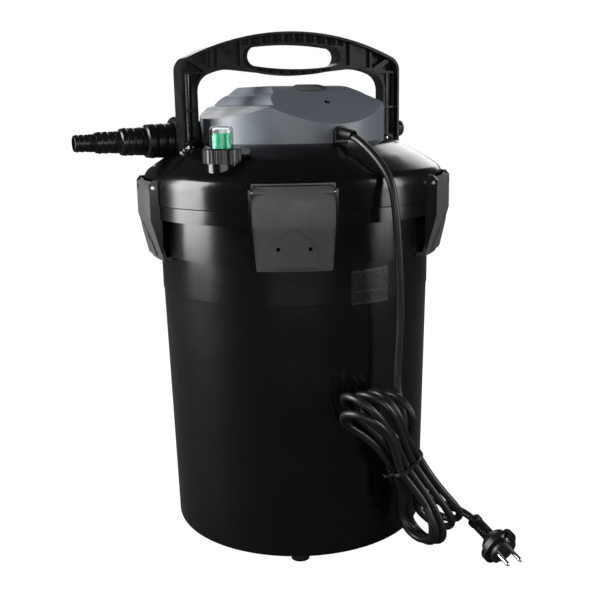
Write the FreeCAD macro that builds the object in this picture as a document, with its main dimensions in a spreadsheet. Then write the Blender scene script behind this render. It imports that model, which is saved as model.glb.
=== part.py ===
import FreeCAD, Part
import math
import os

import Sketcher
from FreeCAD import Placement, Rotation, Vector

# Pressurised pond filter: a canister with a clamped lid, a pull handle that squeezes the foam stack,
# a UV-C lamp head under a hood, two hose ports and a flow indicator.
# Millimetres. Origin on the canister's axis at the floor, +Z up, front towards -Y.

os.makedirs("parts", exist_ok=True)
doc = FreeCAD.newDocument("pond_filter")
sheet = doc.addObject("Spreadsheet::Sheet", "Sizes")

DRIVING = {
    # canister
    "foot_height": 9, "foot_radius": 10.5, "foot_circle": 133, "foot_count": 5,
    "can_base_radius": 152.75, "can_top_radius": 160, "can_top": 346.5, "wall": 4,
    "collar_radius": 165, "rim_top": 404, "seam_height": 302,
    # lid
    "skirt_low": 389.4, "skirt_radius": 175.7, "seam_line": 405, "lid_radius": 177,
    "shoulder_low": 424, "shoulder_high": 441, "crown_radius": 127, "crown_low": 465.2, "crown_top": 470,
    "head_hole": 46,
    # clamps
    "clamp_count": 5, "clamp_half_angle": 13.4, "clamp_face": 185, "clamp_low": 347, "clamp_plate": 3.5,
    "clamp_bend": 43.5, "pin_circle": 176.5, "pin_height": 425, "pin_radius": 2, "knuckle_radius": 4,
    "cheek_inner": 43.2, "cheek_outer": 45.7,
    # handle and foam press
    "handle_turn": 24, "handle_half": 138.5, "handle_top": 593.5, "leg_width": 20, "flange": 2.6,
    "outer_depth": 27, "inner_depth": 19.5, "web": 5, "rod_circle": 129, "rod_radius": 4,
    "press_height": 40, "foam_radius": 142, "foam_height": 85, "foam_count": 4, "tube_radius": 37.5,
    # hood
    "hood_turn": 28.5, "hood_radius": 108.5, "hood_top": 532, "hood_wall": 3,
    # ports and hose tails
    "port_height": 473.3, "port_bore": 17, "port_radius": 22, "port_thread": 23, "port_end": 122,
    "outlet_turn": -63, "outlet_offset": 44.9, "inlet_turn": 188, "nut_radius": 27,
    # flow indicator
    "gauge_turn": -29.5, "gauge_circle": 150, "gauge_floor": 452, "dome_radius": 12.4, "dome_top": 491,
    # lamp
    "sleeve_radius": 21, "lamp_radius": 7.5,
    # mains lead
    "cord_radius": 4.25, "hank_thick": 46, "hank_turn": 26.7, "hank_offset": 183,
    "plug_flange": 22, "plug_pin_radius": 2.4, "plug_pin_pitch": 19,
}


class Dim:
    """A number that carries the spreadsheet expression it comes from."""

    def __init__(self, value, text):
        self.value = float(value)
        self.text = text

    def _join(self, other, sign, value):
        return Dim(value, "(%s %s %s)" % (self.text, sign, dim(other).text))

    def __add__(self, other):
        return self._join(other, "+", self.value + dim(other).value)

    def __sub__(self, other):
        return self._join(other, "-", self.value - dim(other).value)

    def __mul__(self, other):
        return self._join(other, "*", self.value * dim(other).value)

    def __truediv__(self, other):
        return self._join(other, "/", self.value / dim(other).value)

    def __neg__(self):
        return Dim(-self.value, "(0 - %s)" % self.text)

    def __radd__(self, other):
        return dim(other) + self

    def __rsub__(self, other):
        return dim(other) - self


def dim(number):
    return number if isinstance(number, Dim) else Dim(number, repr(float(number)))


class Sizes:
    """Attribute access to the sheet's aliased cells."""


S = Sizes()
for row, (alias, number) in enumerate(DRIVING.items(), 1):
    sheet.set("A%d" % row, alias)
    sheet.set("B%d" % row, str(number))
    sheet.setAlias("B%d" % row, alias)
    setattr(S, alias, Dim(number, "Sizes." + alias))
doc.recompute()

nodes = []


def keep(thing, label):
    """Give a finished sub-part its node name."""
    thing.Label = label
    nodes.append(thing)
    return thing


def bind(thing, prop, size):
    """Bind a property to the sheet, or set it when the size is a plain number."""
    if isinstance(size, Dim):
        thing.setExpression(prop, size.text)
    else:
        setattr(thing, prop, size)


def place(thing, x=0, y=0, z=0, rotation=None):
    """Put a primitive or a body in its place, with the offsets bound to the sheet."""
    base = [dim(v) for v in (x, y, z)]
    thing.Placement = Placement(Vector(*[b.value for b in base]), rotation or Rotation())
    for axis, size in zip("xyz", (x, y, z)):
        if isinstance(size, Dim):
            thing.setExpression("Placement.Base." + axis, size.text)
    return thing


def turned(degrees):
    """Turn about the canister's axis; 0 faces -Y, positive towards +X."""
    return Rotation(Vector(0, 0, 1), degrees)


# ---------------------------------------------------------------- sketch and feature helpers

def body(name):
    return doc.addObject("PartDesign::Body", name)


def sketch_on(owner, role, name):
    """A sketch on one of the body's own origin planes."""
    sk = owner.newObject("Sketcher::SketchObject", name)
    plane = [f for f in owner.Origin.OriginFeatures if f.Role == role][0]
    sk.AttachmentSupport = [(plane, "")]
    sk.MapMode = "FlatFace"
    return sk


def fix_point(sk, geo, vertex, x, y):
    """Hold a vertex at its sheet-driven place."""
    for kind, size, axis in (("DistanceX", dim(x), -2), ("DistanceY", dim(y), -1)):
        if abs(size.value) < 1e-9:
            sk.addConstraint(Sketcher.Constraint("PointOnObject", geo, vertex, axis))
        else:
            row = sk.addConstraint(Sketcher.Constraint(kind, -1, 1, geo, vertex, size.value))
            sk.setExpression("Constraints[%d]" % row, size.text)


def arc_between(start, end, radius):
    """Circle arc from start to end; a positive radius keeps its centre on the left of the way."""
    chord = end - start
    half = chord.Length / 2
    left = Vector(-chord.y, chord.x, 0).normalize()
    rise = math.sqrt(max(radius * radius - half * half, 0.0))
    centre = (start + end) / 2 + left * (rise if radius > 0 else -rise)
    first, last = (start, end) if radius > 0 else (end, start)
    angles = [math.atan2(p.y - centre.y, p.x - centre.x) for p in (first, last)]
    circle = Part.Circle(centre, Vector(0, 0, 1), abs(radius))
    return Part.ArcOfCircle(circle, angles[0], angles[1])


def outline(sk, points):
    """Closed outline. A point is (x, y), or (x, y, radius) when an arc arrives at it."""
    places = [Vector(dim(p[0]).value, dim(p[1]).value, 0) for p in points]
    ends = []
    for i, point in enumerate(points):
        start, end = places[i - 1], places[i]
        if len(point) == 3:
            radius = dim(point[2])
            geo = sk.addGeometry(arc_between(start, end, radius.value), False)
            row = sk.addConstraint(Sketcher.Constraint("Radius", geo, abs(radius.value)))
            if isinstance(point[2], Dim):
                sk.setExpression("Constraints[%d]" % row, "abs(%s)" % radius.text)
            ends.append((geo, 1, 2) if radius.value > 0 else (geo, 2, 1))
        else:
            geo = sk.addGeometry(Part.LineSegment(start, end), False)
            ends.append((geo, 1, 2))
    for i, point in enumerate(points):
        geo, _, last = ends[i]
        following, first, _ = ends[(i + 1) % len(ends)]
        sk.addConstraint(Sketcher.Constraint("Coincident", geo, last, following, first))
        fix_point(sk, geo, last, point[0], point[1])


def ring(sk, x, y, radius):
    """A full circle in a sketch."""
    size = dim(radius)
    centre = Vector(dim(x).value, dim(y).value, 0)
    geo = sk.addGeometry(Part.Circle(centre, Vector(0, 0, 1), size.value), False)
    row = sk.addConstraint(Sketcher.Constraint("Radius", geo, size.value))
    if isinstance(radius, Dim):
        sk.setExpression("Constraints[%d]" % row, size.text)
    fix_point(sk, geo, 3, x, y)


def box_outline(x0, y0, x1, y1):
    return [(x0, y0), (x1, y0), (x1, y1), (x0, y1)]


def turn_feature(owner, kind, sk, angle=360.0, midplane=False):
    feature = owner.newObject("PartDesign::" + kind, sk.Name + "_turn")
    feature.Profile = sk
    feature.ReferenceAxis = (sk, ["V_Axis"])
    bind(feature, "Angle", angle)
    feature.Midplane = midplane
    sk.Visibility = False
    return feature


def pull_feature(owner, kind, sk, length, both=True, back=False):
    feature = owner.newObject("PartDesign::" + kind, sk.Name + "_pull")
    feature.Profile = sk
    feature.SideType = "Symmetric" if both else "One side"
    bind(feature, "Length", length)
    feature.Reversed = back
    sk.Visibility = False
    return feature


def pattern(owner, feature, count, angle=360.0):
    copies = owner.newObject("PartDesign::PolarPattern", feature.Name + "_copies")
    copies.Originals = [feature]
    axis = [f for f in owner.Origin.OriginFeatures if f.Role == "Z_Axis"][0]
    copies.Axis = (axis, [""])
    copies.Angle = angle
    bind(copies, "Occurrences", count)
    owner.Tip = copies
    return copies


def turned_body(name, points, angle=360.0, midplane=False, role="XZ_Plane"):
    """A body of revolution about Z from its (radius, height) outline."""
    owner = body(name)
    sk = sketch_on(owner, role, name + "_profile")
    outline(sk, points)
    turn_feature(owner, "Revolution", sk, angle, midplane)
    return owner


def pulled_body(name, role, points, length, both=True, back=False):
    owner = body(name)
    sk = sketch_on(owner, role, name + "_outline")
    outline(sk, points)
    pull_feature(owner, "Pad", sk, length, both, back)
    return owner


def solid(kind, name, **sizes):
    """A Part primitive with its sizes bound to the sheet."""
    thing = doc.addObject("Part::" + kind, name)
    for prop, size in sizes.items():
        bind(thing, prop, size)
    return thing


def fuse(name, shapes):
    thing = doc.addObject("Part::MultiFuse", name)
    thing.Shapes = shapes
    return thing


def cut(name, base, tool):
    thing = doc.addObject("Part::Cut", name)
    thing.Base = base
    thing.Tool = tool
    return thing


def common(name, base, tool):
    thing = doc.addObject("Part::Common", name)
    thing.Base = base
    thing.Tool = tool
    return thing


def copy_of(source, name):
    """A second tool with the same shape, so that no object is used twice in one boolean tree."""
    thing = doc.addObject("Part::Feature", name)
    thing.Shape = source.Shape.copy()
    return thing


# ---------------------------------------------------------------- canister

def can_radius(height):
    """Outer radius of the drafted canister wall at a height."""
    rise = (S.can_top_radius - S.can_base_radius) / (S.can_top - S.foot_height)
    return S.can_base_radius + rise * (height - S.foot_height)


def make_canister():
    base_round, floor = 6, 5
    seam_low, seam_high = S.seam_height, S.seam_height + 1.2
    inner = S.collar_radius - S.wall
    owner = turned_body("canister_body", [
        (0, S.foot_height),
        (S.can_base_radius - base_round, S.foot_height),
        (S.can_base_radius, S.foot_height + base_round, base_round),
        (can_radius(seam_low), seam_low),
        (can_radius(seam_low) + 0.7, seam_low + 0.3),
        (can_radius(seam_high) + 0.7, seam_high),
        (S.can_top_radius, S.can_top),
        (S.collar_radius, S.can_top),
        (S.collar_radius, S.rim_top),
        (inner, S.rim_top),
        (inner, S.can_top + S.wall),
        (S.can_top_radius - S.wall, S.can_top),
        (S.can_base_radius - S.wall, S.foot_height + floor + 4),
        (S.can_base_radius - S.wall - 4, S.foot_height + floor, Dim(-4, "(0 - 4)")),
        (0, S.foot_height + floor),
    ])
    keep(owner, "canister")


def make_feet():
    owner = body("feet_body")
    sk = sketch_on(owner, "XY_Plane", "foot_circle_sketch")
    ring(sk, 0, -S.foot_circle, S.foot_radius)
    foot = pull_feature(owner, "Pad", sk, S.foot_height, both=False)
    pattern(owner, foot, S.foot_count)
    keep(owner, "rubber_feet")


def make_rating_plate():
    low, high, thick, half_angle = 300, 338, 1.0, 8.6
    owner = turned_body("rating_plate_body", [
        (-can_radius(low), low), (-can_radius(high), high),
        (-(can_radius(high) + thick), high), (-(can_radius(low) + thick), low),
    ], 2 * half_angle, midplane=True, role="YZ_Plane")
    owner.Placement = Placement(Vector(), turned(30.5))
    keep(owner, "rating_plate")


# ---------------------------------------------------------------- ports (shared by the lid and the tails)

def port_place(thing, turn, offset, along=0.0):
    """Place a thing made along local +Z on a port's axis, at a distance along it; local +X is up."""
    out = turned(turn.value).multVec(Vector(0, -1, 0))
    side = out.cross(Vector(0, 0, 1))
    beside, ahead = offset
    base = side * dim(beside).value + out * (ahead + dim(along).value) + Vector(0, 0, S.port_height.value)
    thing.Placement = Placement(base, Rotation(Vector(0, 0, 1), Vector(), out, "ZXY"))
    return thing


PORTS = (("outlet", S.outlet_turn, (S.outlet_offset, -2.35), 72), ("inlet", S.inlet_turn, (0, 0), 84))


def gauge_centre():
    """Where the flow indicator's upright axis stands."""
    return turned(S.gauge_turn.value).multVec(Vector(0, -S.gauge_circle.value, 0))


# ---------------------------------------------------------------- lid

def crown_outline(foot):
    """The lid's outer form from its skirt to its flat crown, filled down to a height."""
    return [
        (0, foot), (S.skirt_radius, foot),
        (S.skirt_radius, S.seam_line - 0.6), (S.lid_radius - 0.2, S.seam_line + 0.4),
        (S.lid_radius, S.shoulder_low), (S.lid_radius - 6.5, S.shoulder_high, 20),
        (151, 453.8), (S.crown_radius, S.crown_low), (112, S.crown_top, 60), (0, S.crown_top),
    ]


def crown_cavity():
    """What is hollow under the lid, with the locating ring and the gasket ledge left standing."""
    ring_outer, ring_inner, ledge = 160, 156.5, 407
    return [
        (0, S.skirt_low - 10), (ring_inner, S.skirt_low - 10), (ring_inner, ledge + 4),
        (S.lid_radius - 4.4, ledge + 4), (S.lid_radius - 4.4, S.shoulder_low),
        (S.lid_radius - 10, S.shoulder_high - 3), (S.crown_radius - 3, S.crown_low - 5.2),
        (110, S.crown_top - 6), (0, S.crown_top - 6),
    ], [
        (ring_outer, S.skirt_low - 10), (S.skirt_radius - S.wall, S.skirt_low - 10),
        (S.skirt_radius - S.wall, ledge), (ring_outer, ledge),
    ]


def clamp_seat(index, filled):
    """What the lid adds for one clamp, two cheeks and a backing block, and the pocket it cuts."""
    turn = Placement(Vector(), turned(index * 360.0 / S.clamp_count.value))
    cheeks = body("cheek_body_%d" % index)
    sk = sketch_on(cheeks, "YZ_Plane", "cheek_outline_%d" % index)
    outline(sk, [(-r, z) for r, z in (
        (168, 352), (170, 352), (180.2, 389), (180.2, 428), (176, 433), (168, 433))])
    pull_feature(cheeks, "Pad", sk, S.cheek_outer * 2)
    slot = sketch_on(cheeks, "XZ_Plane", "cheek_gap_%d" % index)
    outline(slot, box_outline(-S.cheek_inner, 340, S.cheek_inner, 440))
    pull_feature(cheeks, "Pocket", slot, 400)
    cheeks.Placement = turn
    block = solid("Box", "seat_block", Width=8.5, Height=28)
    block.setExpression("Length", "2 * Sizes.cheek_outer")
    pocket = solid("Box", "seat_pocket", Width=20.9, Height=18.5)
    pocket.setExpression("Length", "2 * Sizes.cheek_inner")
    for box, half, radius, low in ((block, S.cheek_outer, 174, 409), (pocket, S.cheek_inner, 190.3, 415)):
        box.Placement = turn.multiply(Placement(Vector(-half.value, -radius, low), Rotation()))
    return [cheeks, common("seat_backing", block, copy_of(filled, "seat_limit"))], pocket


def seat_gauge(shell):
    """The lid's crown with the flow indicator's boss, neck and well."""
    centre = gauge_centre()
    inward = turned(S.gauge_turn.value).multVec(Vector(0, 2, 0))
    boss = solid("Cylinder", "gauge_boss", Radius=19.4, Height=13)
    place(boss, centre.x + inward.x, centre.y + inward.y, S.gauge_floor - 12)
    neck = solid("Cylinder", "gauge_neck", Radius=16, Height=13)
    place(neck, centre.x, centre.y, S.gauge_floor - 2)
    well = solid("Cylinder", "gauge_well", Radius=22.3, Height=40)
    place(well, centre.x, centre.y, S.gauge_floor)
    well_core = solid("Cylinder", "gauge_well_core", Radius=16, Height=10.6)
    place(well_core, centre.x, centre.y, S.gauge_floor)
    gauge_bore = solid("Cylinder", "gauge_bore", Radius=8, Height=60)
    place(gauge_bore, centre.x, centre.y, S.gauge_floor - 30)
    seat = fuse("gauge_seat", [shell, boss, neck])
    gauge_room = cut("gauge_room", well, well_core)
    return cut("gauge_seated", seat, fuse("gauge_cuts", [gauge_room, gauge_bore]))


def make_lid():
    crown = turned_body("lid_crown", crown_outline(S.skirt_low))
    hollow_points, skirt_gap_points = crown_cavity()
    hollow = turned_body("lid_hollow", hollow_points)
    skirt_gap = turned_body("lid_skirt_gap", skirt_gap_points)
    doc.recompute()
    shell = cut("lid_shell", crown, fuse("lid_hollows", [hollow, skirt_gap]))
    filled = turned_body("lid_filled", crown_outline(S.shoulder_low))
    doc.recompute()

    added = [seat_gauge(shell)]
    removed = []
    for name, turn, offset, start in PORTS:
        niche = port_place(solid("Cylinder", name + "_niche", Radius=33, Height=65), turn, offset, 105)
        added.append(common(name + "_niche_wall", niche, copy_of(filled, name + "_whole")))
        tube = solid("Cylinder", name + "_port", Radius=S.port_radius, Height=S.port_end - start)
        added.append(port_place(tube, turn, offset, start))
        thread = solid("Cylinder", name + "_thread", Radius=S.port_thread, Height=14)
        added.append(port_place(thread, turn, offset, S.port_end - 14))
        room = solid("Cylinder", name + "_room", Radius=S.nut_radius + 2, Height=90)
        core = solid("Cylinder", name + "_core", Radius=S.port_radius, Height=S.port_end - 109)
        screw = solid("Cylinder", name + "_screw", Radius=S.port_thread, Height=14)
        port_place(room, turn, offset, 109)
        port_place(core, turn, offset, 109)
        port_place(screw, turn, offset, S.port_end - 14)
        removed.append(cut(name + "_nut_room", room, fuse(name + "_kept", [core, screw])))
        bore = solid("Cylinder", name + "_bore", Radius=S.port_bore, Height=S.port_end - start)
        removed.append(port_place(bore, turn, offset, start + 4))

    for index in range(int(S.clamp_count.value)):
        seat, pocket = clamp_seat(index, filled)
        added += seat
        removed.append(pocket)
        pin_hole = solid("Cylinder", "pin_hole", Radius=S.pin_radius, Height=120)
        angle = index * 360.0 / S.clamp_count.value
        spot = turned(angle).multVec(Vector(-60, -S.pin_circle.value, S.pin_height.value))
        pin_hole.Placement = Placement(spot, turned(angle).multiply(Rotation(Vector(0, 1, 0), 90)))
        removed.append(pin_hole)

    for side in (-1, 1):
        spot = turned(S.handle_turn.value).multVec(Vector(side * S.rod_circle.value, 0, 0))
        boss = solid("Cylinder", "guide_boss", Radius=12, Height=18)
        place(boss, spot.x, spot.y, 444)
        added.append(boss)
        hole = solid("Cylinder", "guide_hole", Radius=8, Height=60)
        place(hole, spot.x, spot.y, 430)
        removed.append(hole)

    head_hole = solid("Cylinder", "head_hole", Radius=S.head_hole, Height=40)
    place(head_hole, 0, 0, S.crown_top - 20)
    removed.append(head_hole)
    lid = cut("lid_part", fuse("lid_added", added), fuse("lid_removed", removed))
    keep(lid, "lid")


def make_lid_seal():
    keep(turned_body("lid_seal_body", [
        (161.3, S.rim_top), (164.7, S.rim_top), (164.7, S.rim_top + 3), (161.3, S.rim_top + 3),
    ]), "lid_seal")


# ---------------------------------------------------------------- clamps

CLAMP_SLOPE = 13      # how far the clamp's face leans in over its sloping lower part
CLAMP_KNEE = 45       # height of the sloping part


def clamp_profile():
    """(radius, height) outline of the clamp plate with its hook under the canister's collar."""
    face, plate, low = S.clamp_face, S.clamp_plate, S.clamp_low
    foot = face - CLAMP_SLOPE
    hook = S.can_top - 0.4
    bend_low, lean, rise = 410, 5.4, 21
    inner_lean, inner_rise = 8.47, 19.31
    return [
        (-(foot - plate), low), (-(foot - plate), hook), (-(S.collar_radius - 4), hook),
        (-(S.collar_radius - 4), hook - 4), (-(foot - 1), hook - 4), (-foot, hook - 2),
        (-face, low + CLAMP_KNEE), (-face, bend_low), (-(face - lean), bend_low + rise, -S.clamp_bend),
        (-(face - inner_lean), bend_low + inner_rise), (-(face - plate), bend_low, S.clamp_bend - plate),
        (-(face - plate), low + CLAMP_KNEE),
    ]


def make_clamp(index):
    name = "clamp_%d" % (index + 1)
    low, high = S.clamp_low, S.clamp_low + 41
    foot, back = S.clamp_face - CLAMP_SLOPE, S.clamp_face - S.clamp_plate
    owner = turned_body(name + "_body", clamp_profile(), 2 * S.clamp_half_angle.value, True, "YZ_Plane")
    barrel = sketch_on(owner, "YZ_Plane", name + "_knuckle")
    ring(barrel, -S.pin_circle, S.pin_height, S.knuckle_radius)
    pull_feature(owner, "Pad", barrel, 2 * (S.cheek_inner.value - 1.6))
    bore = sketch_on(owner, "YZ_Plane", name + "_pin_bore")
    ring(bore, -S.pin_circle, S.pin_height, S.pin_radius + 0.05)
    pull_feature(owner, "Pocket", bore, 120)
    arch = sketch_on(owner, "XZ_Plane", name + "_arch")
    outline(arch, [(-26.5, low, 60), (26.5, low), (0, high, 60)])
    pull_feature(owner, "Pad", arch, 200, both=False)
    trim = sketch_on(owner, "YZ_Plane", name + "_outer_trim")
    outline(trim, [(-(foot + 3.2), low - 6), (-(foot + 3.2), low), (-(S.clamp_face - 0.6), high),
                   (-(S.clamp_face - 0.6), high + 1), (-230, high + 1), (-230, low - 6)])
    turn_feature(owner, "Groove", trim)
    inner = sketch_on(owner, "YZ_Plane", name + "_inner_trim")
    outline(inner, [(0, low), (-(foot - S.clamp_plate), low), (-back, low + CLAMP_KNEE),
                    (-back, low + 60), (0, low + 60)])
    turn_feature(owner, "Groove", inner)
    holes = sketch_on(owner, "XZ_Plane", name + "_holes")
    for side in (-1, 1):
        outline(holes, box_outline(side * 16.5 - 2, 365, side * 16.5 + 2, 369))
    pull_feature(owner, "Pocket", holes, 230, both=False, back=True)
    owner.Placement = Placement(Vector(), turned(index * 360.0 / S.clamp_count.value))
    keep(owner, name)
    return owner


def make_clamp_pins():
    pins = []
    for index in range(int(S.clamp_count.value)):
        pin = solid("Cylinder", "clamp_pin", Radius=S.pin_radius)
        pin.setExpression("Height", "2 * Sizes.cheek_outer - 0.4")
        angle = index * 360.0 / S.clamp_count.value
        start = Vector(0.2 - S.cheek_outer.value, -S.pin_circle.value, S.pin_height.value)
        turn = turned(angle)
        pin.Placement = Placement(turn.multVec(start), turn.multiply(Rotation(Vector(0, 1, 0), 90)))
        pins.append(pin)
    group = doc.addObject("Part::Compound", "clamp_pin_group")
    group.Links = pins
    keep(group, "clamp_pins")


# ---------------------------------------------------------------- handle, rods and foam press

TOP_ARC = 305.9      # radius of the handle's top edge
LEG_FOOT = 465       # lowest point of a handle leg, on its outer side
SHOULDER = 564.5     # height where the top arc meets the corner
SLOT_END = 52        # half length of the grip slot's straight part


def top_edge(x, inset=0.0):
    """Height of the handle's top arc at a distance from its middle."""
    radius = TOP_ARC - inset
    return S.handle_top.value - TOP_ARC + math.sqrt(radius * radius - x * x)


def handle_outline(inset=0.0):
    """Outer outline of the handle, counter-clockwise from the left foot, moved inwards by inset."""
    half = S.handle_half - inset
    foot = LEG_FOOT + inset * 1.1
    inner = S.handle_half - S.leg_width
    rise = 10
    corner = 130 - inset
    return [
        (-half, foot), (-inner, foot + rise), (-inner, 527), (-103, 547, -21), (-72, 551.3, -70),
        (-40, 548), (0, 544.3, 226), (40, 548, 226), (72, 551.3), (103, 547, -70),
        (inner, 527, -21), (inner, foot + rise), (half, foot), (half, 550),
        (corner, top_edge(130, inset), 17), (0, S.handle_top - inset, TOP_ARC - inset),
        (-corner, top_edge(130, inset), TOP_ARC - inset), (-half, 550, 17),
    ]


def lower_edge(x):
    """Height of the handle's lower edge near its middle."""
    reach = abs(x)
    return 544.3 + 3.7 * (reach / 40) ** 2 if reach < 40 else 548 + 3.3 * (reach - 40) / 32


def grip_floor(x):
    """Height of the grip slot's lower side."""
    return 551.4 + 3.8 * (x / SLOT_END) ** 2


def slot_outline(grow=0.0):
    """The grip slot, counter-clockwise, grown outwards by grow."""
    end = SLOT_END
    return [
        (-end, 555.2 - grow, 10.9 + grow), (0, 551.4 - grow, 358 + grow), (end, 555.2 - grow, 358 + grow),
        (end, 575.6 + grow, 10.9 + grow), (0, 579.4 + grow, 358 + grow), (-end, 575.6 + grow, 358 + grow),
    ]


def rail_cells():
    """The small moulded pockets above the grip slot and the low strips below it."""
    pitch, rib, skin, reach = 13.8, 2.4, 2.4, 64.5
    cells = []
    for step in range(-5, 5):
        x0 = max(step * pitch + rib / 2, -reach)
        x1 = min((step + 1) * pitch - rib / 2, reach)
        bow = 3.8 * (min(abs(x0 + x1) / 2, SLOT_END) / SLOT_END) ** 2
        low = 579.4 - bow + skin
        cells.append([(x0, low), (x1, low), (x1, top_edge(x1, S.flange.value)), (x0, top_edge(x0, S.flange.value))])
    for step in range(-3, 4):
        x0 = step * pitch - pitch / 2 + rib / 2
        x1 = x0 + pitch - rib
        cells.append([(x0, lower_edge(x0) + 1.3), (x1, lower_edge(x1) + 1.3),
                      (x1, grip_floor(x1) - 1.9), (x0, grip_floor(x0) - 1.9)])
    return cells


def panel_cells():
    """The upright pockets, the corner triangles and the leg recesses, for one side."""
    skin = S.flange.value
    inner = S.handle_half.value - S.leg_width.value + skin
    outer = S.handle_half.value - skin
    cells = []
    for left, right, low in ((67, 72.5, 555.5), (94.5, 99.5, 553)):
        cells.append([(left, low), (right, low), (right, top_edge(right, skin)), (left, top_edge(left, skin))])
    cells.append([(102.5, 552), (124, 564), (102.5, top_edge(102.5, skin))])
    cells.append([(109.5, 549), (134.5, 549), (128.5, 561)])
    cells.append([(inner, 507.8), (outer, 507.8), (outer, 546.6), (113.5, 546.6), (119.3, 538), (inner, 529)])
    cells.append([(inner, 477.6), (outer, 470.2), (outer, 505.2), (inner, 505.2)])
    return cells


def make_handle():
    owner = body("handle_body")
    web = sketch_on(owner, "XZ_Plane", "handle_web")
    outline(web, handle_outline())
    outline(web, slot_outline())
    pull_feature(owner, "Pad", web, S.web)
    frame = sketch_on(owner, "XZ_Plane", "handle_frame")
    outline(frame, handle_outline())
    outline(frame, slot_outline())
    for cell in rail_cells():
        outline(frame, cell)
    for cell in panel_cells():
        outline(frame, cell)
        outline(frame, [(-x, z) for x, z in reversed(cell)])
    pull_feature(owner, "Pad", frame, S.inner_depth)
    rim = sketch_on(owner, "XZ_Plane", "handle_rim")
    half, corner = S.handle_half, 130
    skin = S.flange
    outline(rim, [
        (-half, LEG_FOOT), (-(half - skin), LEG_FOOT + 1.3), (-(half - skin), 549),
        (-(corner - 1.4), top_edge(corner, 2.8), -15), (0, S.handle_top - 2.6, 0 - (TOP_ARC - 2.6)),
        (corner - 1.4, top_edge(corner, 2.8), 0 - (TOP_ARC - 2.6)), (half - skin, 549, -15),
        (half - skin, LEG_FOOT + 1.3), (half, LEG_FOOT), (half, 550),
        (corner, top_edge(corner), 17), (0, S.handle_top, TOP_ARC), (-corner, top_edge(corner), TOP_ARC),
        (-half, 550, 17),
    ])
    pull_feature(owner, "Pad", rim, S.outer_depth)
    grip = sketch_on(owner, "XZ_Plane", "handle_grip_rim")
    outline(grip, slot_outline(1.6))
    outline(grip, slot_outline())
    pull_feature(owner, "Pad", grip, S.outer_depth - 2)
    tubes = sketch_on(owner, "XY_Plane", "rod_tubes")
    for side in (-1, 1):
        ring(tubes, side * S.rod_circle.value, 0, 5.6)
    tubes.AttachmentOffset = Placement(Vector(0, 0, 471), Rotation())
    pull_feature(owner, "Pad", tubes, 76, both=False)
    sockets = sketch_on(owner, "XY_Plane", "rod_sockets")
    for side in (-1, 1):
        ring(sockets, side * S.rod_circle.value, 0, S.rod_radius)
    pull_feature(owner, "Pocket", sockets, 545, both=False, back=True)
    screw = sketch_on(owner, "YZ_Plane", "clamp_screw_bore")
    ring(screw, 0, 480, 3.05)
    screw.AttachmentOffset = Placement(Vector(0, 0, S.rod_circle.value + 3), Rotation())
    pull_feature(owner, "Pocket", screw, 20, both=False, back=True)
    owner.Placement = Placement(Vector(), turned(S.handle_turn.value))
    keep(owner, "handle")


def make_rods():
    rods = []
    for side in (-1, 1):
        spot = turned(S.handle_turn.value).multVec(Vector(side * S.rod_circle.value, 0, 0))
        rod = solid("Cylinder", "pull_rod", Radius=S.rod_radius, Height=545 - 32)
        rods.append(place(rod, spot.x, spot.y, 32))
    group = doc.addObject("Part::Compound", "pull_rod_group")
    group.Links = rods
    keep(group, "pull_rods")


def make_rod_nuts():
    owner = body("rod_nut_body")
    sk = sketch_on(owner, "XY_Plane", "rod_nut_hexagon")
    across = 7.5
    for side in (-1, 1):
        centre = side * S.rod_circle.value
        corners = [(centre + across * math.cos(math.radians(60 * i)), across * math.sin(math.radians(60 * i)))
                   for i in range(6)]
        outline(sk, corners)
        ring(sk, centre, 0, S.rod_radius)
    pull_feature(owner, "Pad", sk, 6.5, both=False)
    owner.Placement = Placement(Vector(0, 0, S.press_height.value - 6.5), turned(S.handle_turn.value))
    keep(owner, "rod_nuts")


def grid_plate(label, radius, bottom, thick, hub, rod_hole):
    """A round water-passing plate with a hub hole, rings of holes and two rod holes."""
    owner = body(label + "_body")
    disc = sketch_on(owner, "XY_Plane", label + "_disc")
    ring(disc, 0, 0, radius)
    ring(disc, 0, 0, hub)
    for side in (-1, 1):
        ring(disc, side * S.rod_circle.value, 0, rod_hole)
    pull_feature(owner, "Pad", disc, thick, both=False)
    holes = sketch_on(owner, "XY_Plane", label + "_holes")
    for circle, size in ((52, 4.5), (69, 5.5), (89, 6.5), (111, 7)):
        ring(holes, 0, circle, size)
    pocket = pull_feature(owner, "Pocket", holes, 40)
    pattern(owner, pocket, 20)
    owner.Placement = Placement(Vector(0, 0, bottom), turned(S.handle_turn.value))
    keep(owner, label)


def make_foam():
    for index in range(int(S.foam_count.value)):
        owner = body("foam_%d_body" % (index + 1))
        sk = sketch_on(owner, "XY_Plane", "foam_%d_ring" % (index + 1))
        ring(sk, 0, 0, S.foam_radius)
        ring(sk, 0, 0, S.tube_radius + 1.5)
        for side in (-1, 1):
            ring(sk, side * S.rod_circle.value, 0, S.rod_radius + 1)
        pull_feature(owner, "Pad", sk, S.foam_height - 0.4, both=False)
        bottom = S.press_height.value + 5.2 + index * S.foam_height.value
        owner.Placement = Placement(Vector(0, 0, bottom), turned(S.handle_turn.value))
        keep(owner, "foam_ring_%d" % (index + 1))


def make_centre_tube():
    owner = turned_body("centre_tube_body", [
        (S.tube_radius - 3, S.foot_height + 5), (S.tube_radius, S.foot_height + 5),
        (S.tube_radius, 452), (S.tube_radius - 3, 452),
    ])
    slots = sketch_on(owner, "YZ_Plane", "centre_tube_slots")
    for step in range(5):
        low = 44 + 66 * step
        outline(slots, box_outline(-3, low, 3, low + 50))
    pocket = pull_feature(owner, "Pocket", slots, 100)
    pattern(owner, pocket, 5, 180.0 * 4 / 5)
    keep(owner, "centre_tube")


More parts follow.
